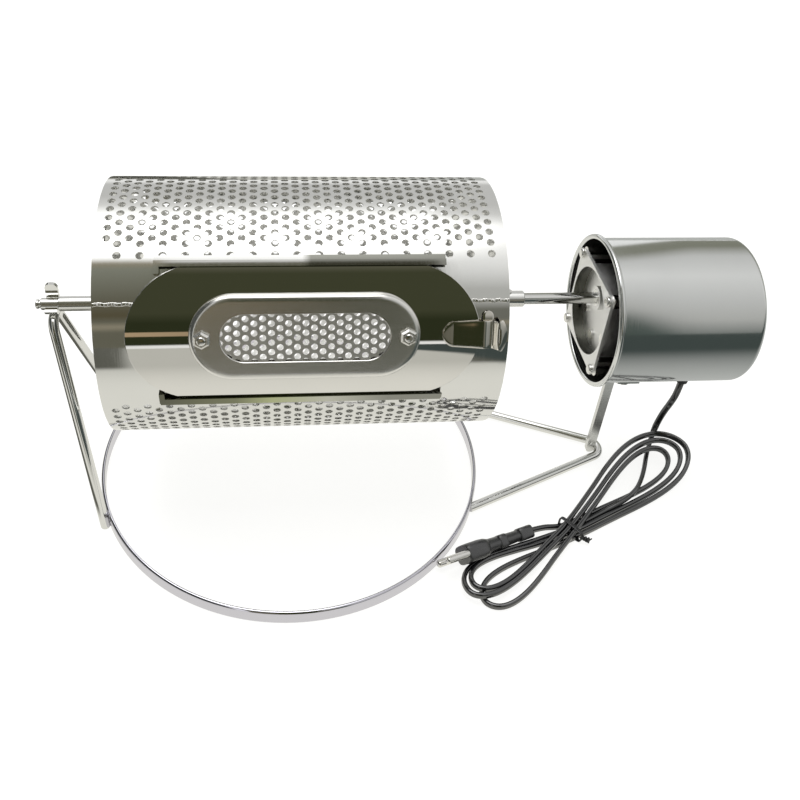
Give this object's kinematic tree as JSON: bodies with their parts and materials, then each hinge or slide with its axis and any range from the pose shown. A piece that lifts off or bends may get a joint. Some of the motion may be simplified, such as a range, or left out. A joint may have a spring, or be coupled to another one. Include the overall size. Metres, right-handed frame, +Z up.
{
  "type": "drum coffee roaster",
  "caption": "Electric tabletop coffee roaster: perforated steel drum with a sliding latched door, turned on a through axle by a gear motor in a steel cup, on a ring and bent-rod stand",
  "frame": {"origin": "on the table, in the middle of the roaster without its cord", "axes": "+X along the axle to the motor, +Z up, the door faces -Y at rest"},
  "size_m": [0.3636, 0.215, 0.179],
  "materials": {
    "polished_steel": "mirror-polished stainless",
    "satin_steel": "satin stainless",
    "plated_steel": "bright plated steel",
    "wire_plastic": "matt insulation",
    "cord_rubber": "smooth black",
    "plug_plastic": "matt black"
  },
  "bodies": {
    "stand": {"base_ring": "polished_steel", "axle_saddle": "satin_steel", "leg_rod": "polished_steel", "foot_rod": "polished_steel", "motor_post": "satin_steel", "motor_bracket": "satin_steel", "bracket_screws": "plated_steel", "bracket_nuts": "plated_steel", "motor_cup": "satin_steel", "standoff_posts": "plated_steel", "motor_face_plate": "plated_steel", "plate_screws": "plated_steel", "gearbox_case": "plated_steel", "gearbox_screws": "plated_steel", "motor_can": "plated_steel", "motor_wires": "wire_plastic", "cord_grommet": "cord_rubber", "cord_lead": "cord_rubber", "cord_hank": "cord_rubber", "cord_tie": "plug_plastic", "plug_body": "plug_plastic", "plug_pins": "plated_steel"},
    "drum": {"axle": "satin_steel", "output_socket": "satin_steel", "spacer_sleeve": "satin_steel", "hub_sleeve": "satin_steel", "set_screw": "plated_steel", "drum_shell": "polished_steel", "left_end_disc": "polished_steel", "right_end_disc": "polished_steel", "top_rail": "satin_steel", "bottom_rail": "satin_steel", "mixing_vane_1": "satin_steel", "mixing_vane_2": "satin_steel", "mixing_vane_3": "satin_steel"},
    "door": {"door_panel": "polished_steel", "window_plate": "satin_steel", "window_mesh": "satin_steel", "window_studs": "plated_steel", "window_nuts": "plated_steel"},
    "latch": {"latch_clip": "polished_steel"}
  },
  "joints": [
    {"name": "drum_spin", "type": "hinge", "parent": "stand", "child": "drum", "pos_m": [-0.05035, 0, 0.1165], "axis": [1, 0, 0], "continuous": true},
    {"name": "door_slide", "type": "slide", "parent": "drum", "child": "door", "axis": [1, 0, 0], "range_m": [0, 0.08]},
    {"name": "latch_flex", "type": "hinge", "parent": "door", "child": "latch", "pos_m": [0.01015, -0.05886, 0.14137], "axis": [0, -0.3891, -0.9212], "range_deg": [0, 10], "stiffness_Nm_per_rad": 0.4}
  ]
}
